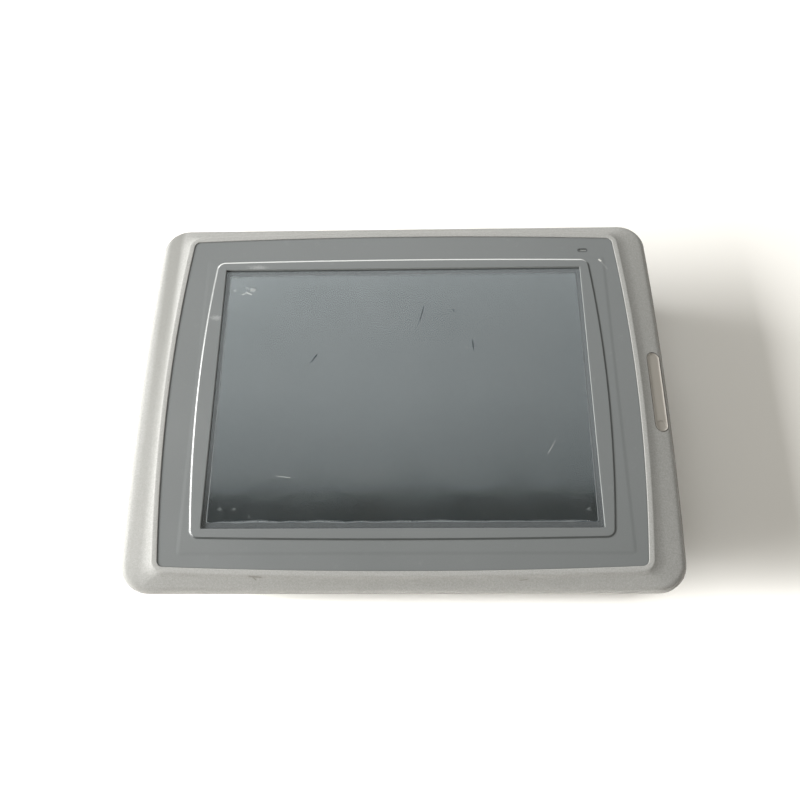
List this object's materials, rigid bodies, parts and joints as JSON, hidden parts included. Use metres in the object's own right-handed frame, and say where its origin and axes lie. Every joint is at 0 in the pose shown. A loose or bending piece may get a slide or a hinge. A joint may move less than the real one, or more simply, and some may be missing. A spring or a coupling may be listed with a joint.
{
  "type": "hmi touch panel",
  "caption": "Operator touch panel for a cabinet door: silver bezel, grey label round a sunk screen, dark stepped housing with ports, vents and a side hatch.",
  "frame": {"origin": "middle of the flat back, on the surface the unit lies on", "axes": "+X to the right and +Y to the top edge as seen by someone facing the screen, +Z out of the screen"},
  "size_m": [0.304, 0.228, 0.058],
  "materials": {
    "silver_bezel": "silver metallic paint over a fine moulded texture",
    "grey_label": "matte printed polyester",
    "badge": "satin",
    "light_pipe": "frosted clear",
    "touch_glass": "clear",
    "clear_film": "clear with fine scratches",
    "flex_amber": "polyimide",
    "gasket_rubber": "closed-cell foam rubber",
    "bare_steel": "zinc plated sheet",
    "screen_glass": "anti-glare, unlit",
    "white_film": "diffusing film",
    "lamp_glass": "phosphor coated",
    "board_green": "solder mask",
    "ribbon_white": "flat flexible cable",
    "lead_pink": "silicone insulation",
    "chassis_grey": "fine moulded texture",
    "screw_zinc": "zinc plated",
    "port_shield": "tin plated",
    "black_plastic": "moulded",
    "heat_sink_black": "black anodised",
    "battery_steel": "polished",
    "terminal_green": "moulded",
    "label_white": "blank printed film",
    "switch_blue": "moulded",
    "lever_white": "moulded",
    "button_red": "moulded"
  },
  "bodies": {
    "panel": {"front_bezel": "silver_bezel", "front_label": "grey_label", "badge_plate": "badge", "status_light_pipe": "light_pipe", "light_guide": "light_pipe", "touch_glass": "touch_glass", "touch_film": "clear_film", "screen_protector": "clear_film", "touch_tail": "flex_amber", "panel_gasket": "gasket_rubber", "lcd_front_frame": "bare_steel", "lcd_rear_tray": "bare_steel", "display_bracket": "bare_steel", "port_plate": "bare_steel", "lamp_reflectors": "bare_steel", "lcd_cell": "screen_glass", "optical_sheets": "white_film", "backlight_lamps": "lamp_glass", "main_board": "board_green", "lcd_driver_board": "board_green", "inverter_board": "board_green", "status_led": "board_green", "display_ribbon": "ribbon_white", "ribbon_sockets": "ribbon_white", "lamp_leads": "lead_pink", "chassis_frame": "chassis_grey", "rear_cover": "chassis_grey", "frame_screws": "screw_zinc", "cover_screws": "screw_zinc", "board_screws": "screw_zinc", "board_standoffs": "screw_zinc", "earth_screw": "screw_zinc", "jackscrews": "screw_zinc", "serial_port_shells": "screw_zinc", "ethernet_port": "port_shield", "usb_device_port": "port_shield", "usb_host_port": "port_shield", "processor": "black_plastic", "memory_chips": "black_plastic", "serial_port_inserts": "black_plastic", "card_slot": "black_plastic", "battery_holder": "black_plastic", "buzzer": "black_plastic", "reset_switch": "black_plastic", "power_capacitors": "black_plastic", "heat_sink": "heat_sink_black", "backup_battery": "battery_steel", "power_header": "terminal_green", "rating_label": "label_white", "dip_switch": "switch_blue"},
    "dip_lever_1": {"dip_lever_1": "lever_white"},
    "dip_lever_2": {"dip_lever_2": "lever_white"},
    "dip_lever_3": {"dip_lever_3": "lever_white"},
    "dip_lever_4": {"dip_lever_4": "lever_white"},
    "eject_button": {"eject_button": "black_plastic"},
    "power_plug": {"power_plug": "terminal_green"},
    "reset_button": {"reset_button": "button_red"},
    "side_hatch": {"side_hatch": "chassis_grey"},
    "terminal_screw_left": {"terminal_screw_left": "screw_zinc"},
    "terminal_screw_right": {"terminal_screw_right": "screw_zinc"}
  },
  "joints": [
    {"name": "hatch_hinge", "type": "hinge", "parent": "panel", "child": "side_hatch", "pos_m": [0.1283, 0, 0.0063], "axis": [0, 1, 0], "range_deg": [0, 95]},
    {"name": "card_eject", "type": "slide", "parent": "panel", "child": "eject_button", "axis": [-1, 0, 0], "range_m": [0, 0.0035]},
    {"name": "reset_press", "type": "slide", "parent": "panel", "child": "reset_button", "axis": [-1, 0, 0], "range_m": [0, 0.0008], "stiffness_N_per_m": 900, "springref_m": -0.0004},
    {"name": "power_plug_pull", "type": "slide", "parent": "panel", "child": "power_plug", "axis": [0, -1, 0], "range_m": [0, 0.012]},
    {"name": "terminal_turn_left", "type": "hinge", "parent": "power_plug", "child": "terminal_screw_left", "pos_m": [-0.09954, -0.09, 0.0206], "axis": [0, 0, -1], "range_deg": [0, 810]},
    {"name": "terminal_turn_right", "type": "hinge", "parent": "power_plug", "child": "terminal_screw_right", "pos_m": [-0.09446, -0.09, 0.0206], "axis": [0, 0, -1], "range_deg": [0, 810]},
    {"name": "dip_slide_1", "type": "slide", "parent": "panel", "child": "dip_lever_1", "axis": [0, 0, 1], "range_m": [0, 0.0018]},
    {"name": "dip_slide_2", "type": "slide", "parent": "panel", "child": "dip_lever_2", "axis": [0, 0, 1], "range_m": [0, 0.0018]},
    {"name": "dip_slide_3", "type": "slide", "parent": "panel", "child": "dip_lever_3", "axis": [0, 0, 1], "range_m": [0, 0.0018]},
    {"name": "dip_slide_4", "type": "slide", "parent": "panel", "child": "dip_lever_4", "axis": [0, 0, 1], "range_m": [0, 0.0018]}
  ]
}
